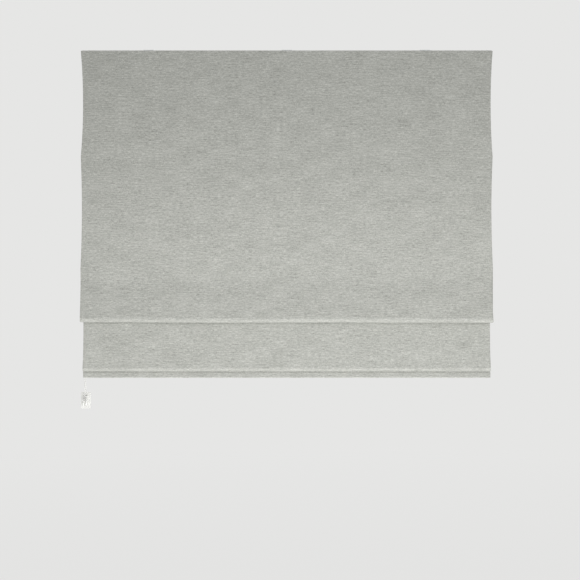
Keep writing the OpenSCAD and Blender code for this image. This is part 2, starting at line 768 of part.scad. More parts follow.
headrail();
hook_tape();
loop_tape();
bracket_left();
bracket_centre();
bracket_right();
control_housing();
control_cover();
cover_screws();
brake_core();
brake_spring();
chain_wheel();
drive_shaft();
spool_1();
spool_2();
spool_3();
spool_4();
wound_cords();
spool_cradle_1();
spool_cradle_2();
spool_cradle_3();
spool_cradle_4();
end_bush();
end_cap();
bead_chain();
tidy_body();
tidy_cover();
face_fabric_drop();
lining_drop();
face_fabric_folds();
lining_folds();
upper_rod();
upper_rod_pocket();
upper_cord_rings();
middle_rod();
middle_rod_pocket();
middle_cord_rings();
lowest_rod();
lowest_rod_pocket();
cord_anchors();
lift_cord_1();
lift_cord_2();
lift_cord_3();
lift_cord_4();
weight_bar();
weight_bar_caps();
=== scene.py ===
import math

import bmesh
import bpy
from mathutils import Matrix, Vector


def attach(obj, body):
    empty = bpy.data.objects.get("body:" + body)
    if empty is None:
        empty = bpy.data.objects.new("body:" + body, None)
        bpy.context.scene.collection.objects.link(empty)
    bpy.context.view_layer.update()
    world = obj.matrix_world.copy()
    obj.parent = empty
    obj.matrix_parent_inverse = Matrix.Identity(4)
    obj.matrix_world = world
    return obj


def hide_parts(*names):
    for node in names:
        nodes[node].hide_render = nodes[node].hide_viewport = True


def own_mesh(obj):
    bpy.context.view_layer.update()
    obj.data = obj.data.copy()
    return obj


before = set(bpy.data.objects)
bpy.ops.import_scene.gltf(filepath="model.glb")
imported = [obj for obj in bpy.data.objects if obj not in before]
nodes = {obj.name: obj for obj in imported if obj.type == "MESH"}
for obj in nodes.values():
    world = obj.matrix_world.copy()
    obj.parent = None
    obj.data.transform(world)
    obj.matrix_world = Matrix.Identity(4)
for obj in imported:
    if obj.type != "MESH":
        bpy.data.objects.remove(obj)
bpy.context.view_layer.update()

# Sizes in millimetres, from here to the tapes as the part's source has them, or its record for the lift
MM = 0.001
FIT = 0.1
SLIP = 0.3
# Heights of the cloth's top edge, rods, fold and hem
FABRIC_TOP = -4.0
UPPER_ROD = -310.0
MIDDLE_ROD = -633.0
FOLD_BOTTOM = -788.0
HEM_BOTTOM = -949.0
# The cloth's layers and side edges
HALF_W = 595.0
FACE_T = 1.2
HALF_T = FACE_T / 2
SIDE_HEM_W = 20.0
SIDE_HEM_OUT = 1.5
LINING_IN = 0.9
LINING_OUT = 1.3
LINING_HALF_W = 574.5
EDGE_STRAIGHT = 6.0
LAST_PULL = 8.0
LAST_REACH = 0.586
# The cloth's line: it leans forward to the middle rod, turns back round the fold, up to the lowest rod
# and down the last panel, which swells forward above the hem
FACE_Y = -25.3
LEAN = 7.0
LEAN_TURN_DROP = 34.0
LEAN_TURN_R = 150.0
LAST_SET_BACK = 0.5
TURN_R = 2.0
TURN_FLAT = 0.4
BULB_R = 10.5
BULB_FLAT = 0.4
BELLY = 4.5
SWELL_DROP = 6.5
SWELL_END = 2.0
LINING_REACH = 0.92
# Hem
HEM_SET_BACK = 3.1
HEM_GAP = 4.8
HEM_CORNER_R = 1.5
HEM_TURN_R = HEM_GAP / 2 - FIT
HEM_ROLL_IN = 5.0
HEM_EDGE_DROP = 3.0
HEM_END_IN = 6.0
# Rod pockets
POCKET_HALF_W = 574.0
POCKET_R = 2.8
POCKET_WALL = 0.5
ROD_IN = 4.4
STRIP_H = 12.0
# Lift cords and the turns on their spools
CORD_Y = -14.2
CORD_R = 0.6
CORD_END_X = 500.0
CORD_X = (-CORD_END_X, -CORD_END_X / 3, CORD_END_X / 3, CORD_END_X)
CORD_KNOT_R = 1.6
CORD_TURNS = 6
COIL_R = 11.95
ANCHOR_H = 8.0
# Bead chain and its wheel
AXIS_Y = -2.2
AXIS_Z = -20.0
CHAIN_X = -585.0
BEAD_PITCH = 6.0
BEAD_R = 2.25
CHAIN_THREAD_R = 0.8
WHEEL_BEADS = 10
DROP_BEADS = 166
WHEEL_R = WHEEL_BEADS * BEAD_PITCH / (2 * math.pi)
CHAIN_DROP = DROP_BEADS * BEAD_PITCH
# Hook and loop tapes
RAIL_FRONT = -21.0
TAPE_T = 1.5
TAPE_TOP = -5.6
TAPE_H = 20.0
# Three sizes of the scene's own: the fold is rounder in front and tighter behind than the source's,
# and the hem is 2 mm less high, so that its stitch line sits where the photograph has it
BULB_FRONT_R = 12.5
BULB_BACK_R = 8.2
HEM_H = 19.0

MIDDLE_Y = FACE_Y - LEAN
LAST_Y = FACE_Y + LAST_SET_BACK
BACK_LEG_Y = LAST_Y - 2 * TURN_R - TURN_FLAT
TURN_TOP = MIDDLE_ROD - STRIP_H / 2 - SIDE_HEM_OUT - SLIP
LOWEST_ROD = TURN_TOP - TURN_R - SLIP - STRIP_H / 2
STITCH_Z = HEM_BOTTOM + HEM_H
HEM_FRONT_Y = LAST_Y + HEM_SET_BACK
HEM_BACK_Y = HEM_FRONT_Y + HEM_GAP
STITCH_Y = HEM_FRONT_Y + HEM_GAP / 2


def put(name, data):
    """A new object of this mesh, curve, camera or lamp at the origin."""
    obj = bpy.data.objects.new(name, data)
    bpy.context.scene.collection.objects.link(obj)
    return obj


# Camera: level, in front of the blind, at the photograph's framing, in metres
CAMERA_PLACE = (0.0095, -4.525, -0.6947)
FRAME_WIDTH = 1.676
SENSOR_MM = 36
VIEW_END = 50
camera = put("camera", bpy.data.cameras.new("camera"))
camera.location = CAMERA_PLACE
camera.rotation_euler = (math.radians(90), 0, 0)
camera.data.sensor_width = SENSOR_MM
camera.data.lens = SENSOR_MM * (FACE_Y * MM - CAMERA_PLACE[1]) / FRAME_WIDTH
camera.data.clip_end = VIEW_END
bpy.context.scene.camera = camera


def linear(code):
    """The linear colour of an sRGB hex value."""
    channels = [int(code[i:i + 2], 16) / 255 for i in (1, 3, 5)]
    return tuple(c / 12.92 if c <= 0.04045 else ((c + 0.055) / 1.055) ** 2.4 for c in channels) + (1.0,)


def add(tree, kind, inputs=None, **settings):
    """Adds a node with its settings, and sets or links its inputs."""
    node = tree.nodes.new(kind)
    for name, value in settings.items():
        setattr(node, name, value)
    for socket, value in (inputs or {}).items():
        if isinstance(value, bpy.types.NodeSocket):
            tree.links.new(value, node.inputs[socket])
        else:
            node.inputs[socket].default_value = value
    return node


def new_material(name, surface):
    """A material with a Principled shader whose sockets take these values."""
    material = bpy.data.materials.new(name)
    material.use_nodes = True
    shader = material.node_tree.nodes["Principled BSDF"]
    for socket, value in surface.items():
        shader.inputs[socket].default_value = value
    return material, material.node_tree, shader


def weighted(tree, fields, weights, mean):
    """A mean value plus the sum of each field, less a half, times its weight."""
    total = mean - sum(weights.values()) / 2
    for name, weight in weights.items():
        total = add(tree, "ShaderNodeMath", {
            0: fields[name], 1: weight, 2: total}, operation="MULTIPLY_ADD").outputs[0]
    return total


def patterned(name, surface, cells, colours, shade, relief, gloss=None, uv=None, extra=None):
    """A material whose colour, relief and gloss follow fields of noise.
    surface: the shader's plain values.
    cells: each field's size in millimetres along each axis, its detail and its roughness.
    shade: each field's weight in the mix of the two colours.
    relief: each field's weight in the bump, the bump's strength and its height in millimetres.
    gloss: the mean roughness, and each field's weight in it.
    uv: the map that the fields follow, or none for the object's own space.
    extra: a function that gives further fields by name.
    A Mix node's inputs 6 and 7 and its output 2 are the ones for colours.
    """
    material, tree, shader = new_material(name, surface)
    if uv:
        place = add(tree, "ShaderNodeUVMap", uv_map=uv).outputs["UV"]
    else:
        place = add(tree, "ShaderNodeTexCoord").outputs["Object"]
    fields = extra(tree, place) if extra else {}
    for field, (sizes, detail, roughness) in cells.items():
        scale = [1 / (size * MM) for size in sizes]
        spot = add(tree, "ShaderNodeMapping", {"Vector": place, "Scale": scale}).outputs["Vector"]
        fields[field] = add(tree, "ShaderNodeTexNoise", {
            "Vector": spot, "Scale": 1.0, "Detail": detail, "Roughness": roughness}).outputs["Fac"]
    mixed = add(tree, "ShaderNodeMix", {
        "Factor": weighted(tree, fields, shade, 0.5), 6: linear(colours[0]), 7: linear(colours[1])},
        data_type="RGBA")
    tree.links.new(mixed.outputs[2], shader.inputs["Base Color"])
    if gloss:
        tree.links.new(weighted(tree, fields, gloss[1], gloss[0]), shader.inputs["Roughness"])
    weights, strength, height = relief
    bump = add(tree, "ShaderNodeBump", {
        "Height": weighted(tree, fields, weights, 0.5), "Strength": strength, "Distance": height * MM})
    tree.links.new(bump.outputs["Normal"], shader.inputs["Normal"])
    return material


# Face cloth: a polyester and cotton tweed, woven flat with uneven slub yarn across.
# The eye sees a soft matte grey, with short light and dark dashes along the weft and a faint cloud over
# larger areas. Its yarns lie about 0.8 mm apart, and are drawn from 2 mm apart to show in the render.
FACE_CLOTH = patterned(
    "slubbed_tweed_face_cloth",
    {"Roughness": 0.9, "IOR": 1.45, "Specular IOR Level": 0.25,
     "Sheen Weight": 0.12, "Sheen Roughness": 0.5},
    {"slub": ((10, 2.2, 1), 2, 0.6), "pick": ((45, 2.6, 1), 2, 0.6), "warp": ((2.2, 5, 1), 2, 0.6),
     "fleck": ((3.0, 2.0, 1), 1, 0.5), "cloud": ((90, 45, 1), 2, 0.5)},
    ("#8f908a", "#cfd0ca"),
    shade={"slub": 1.5, "pick": 1.0, "warp": 0.9, "fleck": 0.8, "cloud": 0.32},
    relief=({"slub": 0.8, "warp": 0.6, "fleck": 0.5}, 0.35, 0.6),
    uv="cloth")

# Lining: ivory cotton sateen, woven closely, so it looks smooth with a faint nap.
# Its threads lie about 0.3 mm apart, and the nap is drawn at 2 to 6 mm to show.
LINING = patterned(
    "cotton_sateen_lining",
    {"Roughness": 0.82, "IOR": 1.45, "Specular IOR Level": 0.25,
     "Sheen Weight": 0.1, "Sheen Roughness": 0.4},
    {"nap": ((2.2, 5.5, 1), 2, 0.5), "cloud": ((180, 120, 1), 2, 0.5)},
    ("#e6e2d8", "#f5f2ea"),
    shade={"nap": 0.5, "cloud": 0.7},
    relief=({"nap": 1.0}, 0.25, 0.3),
    uv="cloth")


def tape_ribs(tree, place):
    """Ribs across a tape, about 1.6 mm apart: the bands lie a tenth of pi apart in their own unit."""
    unit = (1.6 * math.pi, 40, 40)
    spot = add(tree, "ShaderNodeMapping", {"Vector": place, "Scale": [1 / (size * MM) for size in unit]})
    bands = add(tree, "ShaderNodeTexWave", {
        "Vector": spot.outputs["Vector"], "Scale": 1.0, "Distortion": 0.6}, bands_direction="X")
    return {"rib": bands.outputs["Fac"]}


# Woven tape: white cotton and polyester webbing, matte, with ribs across its length and a little fuzz.
# The ribs of such a tape lie about 0.8 mm apart, and are drawn twice as far apart to show.
TAPE = patterned(
    "woven_cotton_tape",
    {"Roughness": 0.85, "IOR": 1.45},
    {"fuzz": ((1.5, 1.5, 1.5), 2, 0.6)},
    ("#dcdad3", "#f6f5f1"),
    # The colour is darker between the ribs as painted shade, and the fuzz varies it at random
    shade={"rib": 0.5, "fuzz": 0.8},
    relief=({"rib": 0.7, "fuzz": 0.5}, 0.5, 0.3),
    extra=tape_ribs)

# Hook and loop tape: white nylon pile, rough and broken up to the eye.
# Its loops are about 0.4 mm across, and are drawn at 0.9 mm to show.
PILE = patterned(
    "nylon_hook_and_loop_tape",
    {"Roughness": 0.9, "IOR": 1.53},
    {"pile": ((0.9, 0.9, 0.9), 3, 0.7)},
    ("#d2d2ce", "#f4f4f0"),
    shade={"pile": 1.4},
    relief=({"pile": 1.0}, 0.8, 0.6))


def cord_braid(tree, place):
    """The braid's chevrons: two sets of ridges, 2 mm along the cord, that wind round it both ways."""
    along_mm = 2.0
    strands = 2
    parts = add(tree, "ShaderNodeSeparateXYZ", {"Vector": place}).outputs
    turn = add(tree, "ShaderNodeMath", {
        0: parts["X"], 1: strands * 2 * math.pi}, operation="MULTIPLY").outputs[0]
    along = add(tree, "ShaderNodeMath", {
        0: parts["Y"], 1: 2 * math.pi / (along_mm * MM)}, operation="MULTIPLY").outputs[0]
    waves = []
    for direction in ("ADD", "SUBTRACT"):
        angle = add(tree, "ShaderNodeMath", {0: along, 1: turn}, operation=direction).outputs[0]
        waves.append(add(tree, "ShaderNodeMath", {0: angle}, operation="SINE").outputs[0])
    ridge = add(tree, "ShaderNodeMath", {0: waves[0], 1: waves[1]}, operation="MAXIMUM").outputs[0]
    return {"ridge": ridge}


# Lift cord: braided white polyester, with a slight shine and the braid's chevrons as fine slanted ridges
CORD = patterned(
    "braided_polyester_cord",
    {"Roughness": 0.6, "IOR": 1.5},
    {},
    ("#d8d7d1", "#f7f6f2"),
    # The colour follows the ridges: painted shade darkens the grooves between them
    shade={"ridge": 1.0},
    relief=({"ridge": 1.0}, 0.6, 0.2),
    uv="cord",
    extra=cord_braid)


def fine_grain(name, colours, gloss, grain, height):
    """A pale finish with a fine grain, in millimetres, and slow changes of tone and gloss."""
    return patterned(
        name, {"IOR": 1.5},
        {"grain": ((grain, grain, grain), 2, 0.5), "flow": ((22, 22, 22), 2, 0.5)},
        colours, shade={"flow": 1.0}, relief=({"grain": 1.0}, 0.2, height),
        gloss=(gloss, {"flow": 0.15, "grain": 0.1}))


# Sewing thread: spun cotton, matte and a little uneven in tone
THREAD = fine_grain("cotton_sewing_thread", ("#d9d8d2", "#efeee9"), 0.7, 0.6, 0.1)
# Headrail: white powder coat, satin, with the faint orange peel of sprayed powder
POWDER_COAT = fine_grain("white_powder_coat", ("#ecece9", "#f2f2f0"), 0.42, 1.1, 0.1)
# Mouldings: white acetal from spark-eroded moulds, a matt skin with slight changes of gloss.
# The skin's grit is about 0.1 mm, and is drawn at 0.5 mm to show.
MOULDING = fine_grain("white_moulded_acetal", ("#e6e6e3", "#eeeeeb"), 0.45, 0.5, 0.08)
# Beads, rings and anchors: white plastic from polished moulds, smooth with clear highlights
BEAD = fine_grain("white_bead_plastic", ("#e6e6e3", "#f0f0ed"), 0.28, 0.8, 0.04)


def drawn_lines(name, colours, gloss, line, metallic):
    """A finish with fine lines along X, in millimetres, and cloudy changes of gloss.
    The lines that drawing leaves are under 0.1 mm wide, and are drawn coarser to show.
    """
    return patterned(
        name, {"Metallic": metallic},
        {"lines": ((60 * line, line, line), 3, 0.6), "cloud": ((9, 9, 9), 2, 0.5)},
        colours, shade={"lines": 0.6, "cloud": 0.6}, relief=({"lines": 1.0}, 0.15, 0.1),
        gloss=(gloss, {"lines": 0.2, "cloud": 0.2}))


# Rods: pultruded glass fibre, pale and half matt, with its fibres as lines along the rod
GLASS_FIBRE = drawn_lines("pultruded_glass_fibre", ("#e2e1d6", "#efeee6"), 0.45, 0.25, 0.0)
# Brackets: zinc-plated steel, bluish with cloudy patches
ZINC = drawn_lines("zinc_plated_steel", ("#aeb3b6", "#cdd1d3"), 0.36, 0.4, 1.0)
# Screws, spring and weight bar: bright drawn steel, a clean grey shine
STEEL = drawn_lines("bright_drawn_steel", ("#a7aaac", "#c6c9ca"), 0.3, 0.2, 1.0)
# Drive shaft: extruded aluminium as it leaves the mill, paler than the steel with faint die lines
ALUMINIUM = drawn_lines("mill_finish_aluminium", ("#bcbfc1", "#d6d8d9"), 0.33, 0.3, 1.0)

SHARP = math.radians(50)


def crease(bm):
    """Keeps an edge sharp where a smooth piece turns by more than the sharp angle."""
    for edge in bm.edges:
        if edge.is_manifold and edge.calc_face_angle() > SHARP:
            edge.smooth = False


def piece_of(name, bm, material):
    """The piece that a bmesh holds, in this material."""
    mesh = bpy.data.meshes.new(name)
    bm.to_mesh(mesh)
    bm.free()
    mesh.materials.append(material)
    return put(name, mesh)


def stand_for(piece, body, node):
    """The piece rides on a body, in place of a CAD node."""
    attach(piece, body)
    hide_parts(node)


# The steps of the cloth's line: the longest on its straights, and how many round a turn or a small corner
LINE_STEP = 8.0
TURN_STEPS = 14
CORNER_STEPS = 6


def corner_arc(a, b, c, radius, steps):
    """Points of the arc that rounds the corner at b."""
    a, b, c = Vector(a[:2]), Vector(b[:2]), Vector(c[:2])
    u, v = (a - b).normalized(), (c - b).normalized()
    half = u.angle(v) / 2
    middle = b + (u + v).normalized() * radius / math.sin(half)
    start = b + u * radius / math.tan(half) - middle
    sweep = math.copysign(math.pi - 2 * half, u.y * v.x - u.x * v.y)
    points = []
    for i in range(steps + 1):
        s, k = math.sin(sweep * i / steps), math.cos(sweep * i / steps)
        points.append((middle.x + start.x * k - start.y * s, middle.y + start.x * s + start.y * k))
    return points


def cloth_line(points):
    """A line in (y, z) through points of (y, z, corner radius)."""
    rough = []
    for i, (y, z, radius) in enumerate(points):
        if radius == 0:
            rough.append((y, z))
        else:
            steps = TURN_STEPS if radius > HEM_CORNER_R else CORNER_STEPS
            rough += corner_arc(points[i - 1], points[i], points[i + 1], radius, steps)
    line = rough[:1]
    for a, b in zip(rough, rough[1:]):
        parts = max(1, math.ceil(math.dist(a, b) / LINE_STEP))
        for k in range(1, parts + 1):
            line.append((a[0] + (b[0] - a[0]) * k / parts, a[1] + (b[1] - a[1]) * k / parts))
    return line


def line_lengths(line, start):
    """Length along the cloth at each point of a line."""
    lengths = [start]
    for a, b in zip(line, line[1:]):
        lengths.append(lengths[-1] + math.dist(a, b))
    return lengths


def line_normals(line):
    """Mitred direction towards the lining at each point of a line."""
    across = [Vector((a[1] - b[1], b[0] - a[0])).normalized() for a, b in zip(line, line[1:])]
    normals = []
    for before, after in zip(across[:1] + across, across + across[-1:]):
        both = (before + after).normalized()
        normals.append(both / both.dot(before))
    return normals


# Middle line of the face cloth, from the top edge to the hem's inner edge
lean_slope = LEAN / (UPPER_ROD - MIDDLE_ROD)
LEAN_TURN = (MIDDLE_Y - LEAN_TURN_DROP * lean_slope, MIDDLE_ROD - LEAN_TURN_DROP)
bulb_way = (BACK_LEG_Y - BULB_R - BULB_FLAT - LEAN_TURN[0], FOLD_BOTTOM + BULB_R - LEAN_TURN[1])
front_slant = math.atan2(bulb_way[0], -bulb_way[1]) - math.asin(BULB_R / math.hypot(*bulb_way))
BULB_FRONT = LEAN_TURN[0] + (LEAN_TURN[1] - FOLD_BOTTOM) * math.tan(front_slant)
SWELL_POINT = (LAST_Y - BELLY, STITCH_Z + SWELL_DROP)
swell_way = (STITCH_Y - SWELL_POINT[0], STITCH_Z - SWELL_POINT[1])
swell_turn = math.atan2(swell_way[0], -swell_way[1]) + math.atan2(BELLY, TURN_TOP - SWELL_POINT[1])
SWELL_R = (math.hypot(*swell_way) - SWELL_END) / 2 / math.tan(swell_turn / 2)
DROP_POINTS = [
    (FACE_Y, FABRIC_TOP, 0),
    (FACE_Y, UPPER_ROD, 0),
    (MIDDLE_Y, MIDDLE_ROD, 0)]
FOLD_POINTS = [
    (MIDDLE_Y, MIDDLE_ROD, 0),
    (*LEAN_TURN, LEAN_TURN_R),
    (BULB_FRONT, FOLD_BOTTOM, BULB_FRONT_R),
    (BACK_LEG_Y, FOLD_BOTTOM, BULB_BACK_R),
    (BACK_LEG_Y, TURN_TOP, TURN_R),
    (LAST_Y, TURN_TOP, TURN_R),
    (*SWELL_POINT, SWELL_R)]
HEM_POINTS = [
    (STITCH_Y, STITCH_Z, HEM_CORNER_R),
    (HEM_FRONT_Y, STITCH_Z - HEM_ROLL_IN, HEM_CORNER_R),
    (HEM_FRONT_Y, HEM_BOTTOM + HALF_T, HEM_TURN_R),
    (HEM_BACK_Y, HEM_BOTTOM + HALF_T, HEM_TURN_R),
    (HEM_BACK_Y, STITCH_Z - HEM_EDGE_DROP, 0)]
LINING_END = (
    SWELL_POINT[0] + LINING_REACH * swell_way[0],
    SWELL_POINT[1] + LINING_REACH * swell_way[1],
    0)
drop_line = cloth_line(DROP_POINTS)
fold_line = cloth_line(FOLD_POINTS + HEM_POINTS)
lining_fold_line = cloth_line(FOLD_POINTS + [LINING_END])
DROP_LENGTH = line_lengths(drop_line, 0)[-1]
fold_lengths = line_lengths(fold_line, DROP_LENGTH)


def length_where(test):
    """Length along the cloth at the first point of the folds that passes the test."""
    return next(s for s, (y, z) in zip(fold_lengths, fold_line) if test(s, z))


# Lengths along the cloth at its marks, each met where the line comes this near to the mark's height.
# The top of the turn is looked for past the fold's lower end.
NEAR_BOTTOM = 3.0
NEAR_TURN = 0.2
NEAR_STITCH = 1.0
BULB_RUN = 60.0
UPPER_S = FABRIC_TOP - UPPER_ROD
BULB_S = length_where(lambda s, z: z < FOLD_BOTTOM + NEAR_BOTTOM)
TURN_S = length_where(lambda s, z: s > BULB_S + BULB_RUN and z > TURN_TOP - NEAR_TURN)
STITCH_S = length_where(lambda s, z: s > TURN_S and z < STITCH_Z + NEAR_STITCH)

# Where the side edges pull in: from and to along the cloth, and how far at the left and the right edge.
# The pull fades out towards the middle, to nothing this far from it.
LAST_PULL_S = TURN_S + EDGE_STRAIGHT
LAST_PULL_END = LAST_PULL_S + 2 * LAST_REACH * (TURN_TOP - EDGE_STRAIGHT - HEM_BOTTOM)
PULLS = [
    (0, UPPER_S, 6.6, 5.8),
    (UPPER_S, DROP_LENGTH, 3.6, 3.9),
    (DROP_LENGTH, BULB_S, 0.8, 3.6),
    (LAST_PULL_S, LAST_PULL_END, LAST_PULL, LAST_PULL)]
PULL_FROM = 380.0
# Soft waves between the stitched lines: from, to and depth
WAVES = [
    (0, UPPER_S, 0.7),
    (UPPER_S, DROP_LENGTH, 0.7),
    (DROP_LENGTH, BULB_S, 0.5),
    (TURN_S, STITCH_S, 0.5)]
# The ripples of a wave: share, millimetres to a radian across and along, and phase
RIPPLES = [(0.5, 61, 90, 0.7), (0.3, 34, -70, 2.1), (0.2, 19, math.inf, 4.0)]
# The fold's lower end: where it hangs unevenly, over what length, its ripple and its tilt at the ends
SAG_PAST = 15.0
SAG_REACH = 45.0
SAG_RIPPLE, SAG_LENGTH, SAG_PHASE = 0.35, 90.0, 0.6
SAG_TILT = 0.9


def pull_in(x, s):
    """How far the cloth is drawn in towards its middle."""
    reach = min(1.0, max(0.0, (abs(x) - PULL_FROM) / (HALF_W - PULL_FROM)))
    reach = reach * reach * (3 - 2 * reach)
    if s > STITCH_S:
        return HEM_END_IN * reach
    for start, end, left, right in PULLS:
        if start < s < end:
            t = (s - start) / (end - start)
            return (left if x < 0 else right) * 4 * t * (1 - t) * reach
    return 0.0


def wave(x, s):
    """How far the cloth stands off its even line, towards the lining."""
    for start, end, depth in WAVES:
        if start < s < end:
            swing = 0.0
            for share, across, along, phase in RIPPLES:
                swing += share * math.sin(x / across + s / along + phase)
            return depth * math.sin(math.pi * (s - start) / (end - start)) ** 2 * swing
    return 0.0


def sag(x, s):
    """How far the fold's lower end hangs above its even line."""
    near = math.exp(-((s - BULB_S - SAG_PAST) / SAG_REACH) ** 2)
    return near * (SAG_RIPPLE * math.sin(x / SAG_LENGTH + SAG_PHASE) - SAG_TILT * (x / HALF_W) ** 3)


def cloth_place(x, off, point, normal, s):
    """The place in metres of a point of the cloth, off its middle line towards the lining."""
    off += wave(x, s)
    across = x - math.copysign(pull_in(x, s), x)
    return Vector((across, point[0] + normal[0] * off, point[1] + normal[1] * off + sag(x, s))) * MM


# Columns across the cloth, as x and the front and back face off the cloth's middle.
# The side hem's are given by how far they lie in from the edge, which is rolled.
FLAT_XS = [10.0 * i for i in range(-57, 58)]
SIDE_HEM = [
    (SIDE_HEM_W + 0.6, -HALF_T, HALF_T),
    (SIDE_HEM_W, -HALF_T, SIDE_HEM_OUT),
    (15, -HALF_T, SIDE_HEM_OUT),
    (10, -HALF_T, SIDE_HEM_OUT),
    (5, -HALF_T, SIDE_HEM_OUT),
    (2, -HALF_T, 1.45),
    (0.7, -0.45, 1.25),
    (0.2, -0.15, 1.0),
    (0, 0.3, 0.6)]
right_hem = [(HALF_W - inset, front, back) for inset, front, back in SIDE_HEM]
left_hem = [(-x, front, back) for x, front, back in reversed(right_hem)]
FACE_COLUMNS = left_hem + [(x, -HALF_T, HALF_T) for x in FLAT_XS] + right_hem
LINING_COLUMNS = [(x, LINING_IN, LINING_OUT) for x in [-LINING_HALF_W] + FLAT_XS + [LINING_HALF_W]]


def cloth_shell(name, line, start, columns, material, thin_after=math.inf):
    """A closed sheet with these columns along a line, which starts at a length of the cloth.
    Past thin_after it has a single layer, without the turned side hems.
    """
    bm = bmesh.new()
    uv = bm.loops.layers.uv.new("cloth")
    flat_place = {}
    front, back = [], []
    rows = list(zip(line, line_normals(line), line_lengths(line, start)))
    for side, grid in enumerate((front, back), 1):
        for point, normal, s in rows:
            grid.append([])
            for column in columns:
                x, off = column[0], column[side]
                if grid is back and s > thin_after:
                    off = min(off, HALF_T)
                vertex = bm.verts.new(cloth_place(x, off, point, normal, s))
                flat_place[vertex] = (x * MM, -s * MM)
                grid[-1].append(vertex)
    last = len(columns) - 1
    for f, f_next, b, b_next in zip(front, front[1:], back, back[1:]):
        for j in range(last):
            bm.faces.new((f[j], f_next[j], f_next[j + 1], f[j + 1]))
            bm.faces.new((b[j], b[j + 1], b_next[j + 1], b_next[j]))
        bm.faces.new((f[0], b[0], b_next[0], f_next[0]))
        bm.faces.new((f[last], f_next[last], b_next[last], b[last]))
    for j in range(last):
        bm.faces.new((front[0][j], front[0][j + 1], back[0][j + 1], back[0][j]))
        bm.faces.new((front[-1][j], back[-1][j], back[-1][j + 1], front[-1][j + 1]))
    for face in bm.faces:
        face.smooth = True
        for loop in face.loops:
            loop[uv].uv = flat_place[loop.vert]
    bm.normal_update()
    crease(bm)
    return piece_of(name, bm, material)


face_drop = cloth_shell("face_cloth_drop", drop_line, 0, FACE_COLUMNS, FACE_CLOTH)
face_folds = cloth_shell("face_cloth_folds", fold_line, DROP_LENGTH, FACE_COLUMNS, FACE_CLOTH, STITCH_S)
lining_drop = cloth_shell("lining_drop_cloth", drop_line, 0, LINING_COLUMNS, LINING)
lining_folds = cloth_shell("lining_folds_cloth", lining_fold_line, DROP_LENGTH, LINING_COLUMNS, LINING)


def add_tube(bm, points, radii, sides):
    """Adds a closed tube through points in millimetres, mapped by turns round it and metres along it."""
    uv = bm.loops.layers.uv.verify()
    points = [Vector(p) * MM for p in points]
    last = len(points) - 1
    rings = []
    along = [0.0]
    for i, point in enumerate(points):
        way = (points[min(i + 1, last)] - points[max(i - 1, 0)]).normalized()
        across = way.cross(Vector((1, 0, 0))).normalized()
        up = way.cross(across)
        if i:
            along.append(along[-1] + (point - points[i - 1]).length)
        ring = []
        for k in range(sides):
            a = 2 * math.pi * k / sides
            ring.append(bm.verts.new(point + radii[i] * MM * (across * math.cos(a) + up * math.sin(a))))
        rings.append(ring)
    for i in range(last):
        for k in range(sides):
            n = (k + 1) % sides
            face = bm.faces.new((rings[i][k], rings[i][n], rings[i + 1][n], rings[i + 1][k]))
            face.smooth = True
            corners = ((k, i), (k + 1, i), (k + 1, i + 1), (k, i + 1))
            for loop, (turn, m) in zip(face.loops, corners):
                loop[uv].uv = (turn / sides, along[m])
    bm.faces.new(rings[0][::-1])
    bm.faces.new(rings[-1])


def cord_piece(name, tubes, sides):
    """A piece of braided cord made of tubes, each of points and radii in millimetres."""
    bm = bmesh.new()
    bm.loops.layers.uv.new("cord")
    for points, radii in tubes:
        add_tube(bm, points, radii, sides)
    bmesh.ops.recalc_face_normals(bm, faces=bm.faces)
    return piece_of(name, bm, CORD)


# A lift cord's step down its length, and the heights of its knot's rings off the knot's middle
CORD_STEP = 8.0
KNOT_STEPS = (1.2, 0.8, 0.3, -0.3, -0.8, -1.2, -1.5)


def lift_cord(x):
    """Points and radii of a cord from its spool to the round knot under its anchor."""
    knot_z = LOWEST_ROD - ANCHOR_H / 2 - FIT - CORD_KNOT_R
    steps = int((AXIS_Z - knot_z - CORD_KNOT_R) / CORD_STEP)
    zs = [AXIS_Z - CORD_STEP * i for i in range(steps + 1)] + [knot_z + up for up in KNOT_STEPS]
    radii = [CORD_R] * (steps + 1) + [math.sqrt(CORD_KNOT_R ** 2 - up ** 2) for up in KNOT_STEPS]
    return [(x, CORD_Y, z) for z in zs], radii


# The steps of a turn on the spool, and the part of the first turn over which it steps aside twice as fast
COIL_STEPS = 28
LEAD_TURN = 0.5


def cord_coil(x):
    """Points and radii of a cord's turns on its spool, from where it leaves the drum."""
    points = []
    for i in range(CORD_TURNS * COIL_STEPS + 1):
        turns = i / COIL_STEPS
        a = math.pi + 2 * math.pi * turns
        aside = FIT + 2 * CORD_R * (turns + min(turns, LEAD_TURN))
        points.append((x + aside, AXIS_Y + COIL_R * math.cos(a), AXIS_Z - COIL_R * math.sin(a)))
    return points, [CORD_R] * len(points)


lift_cords = [cord_piece(f"braided_lift_cord_{i}", [lift_cord(x)], 10) for i, x in enumerate(CORD_X, 1)]
wound_cords = cord_piece("wound_lift_cords", [cord_coil(x) for x in CORD_X], 6)


def grown(name, source, tree, **inputs):
    """The plain mesh that a geometry tree makes from a curve, with these of its named inputs set."""
    holder = put(name + "_source", source)
    modifier = holder.modifiers.new("grow", "NODES")
    modifier.node_group = tree
    for item in tree.interface.items_tree:
        if item.item_type == "SOCKET" and item.name in inputs:
            modifier[item.identifier] = inputs[item.name]
    bpy.context.view_layer.update()
    graph = bpy.context.evaluated_depsgraph_get()
    mesh = bpy.data.meshes.new_from_object(holder.evaluated_get(graph))
    holder.modifiers.remove(modifier)
    bpy.data.objects.remove(holder)
    mesh.name = name
    return put(name, mesh)


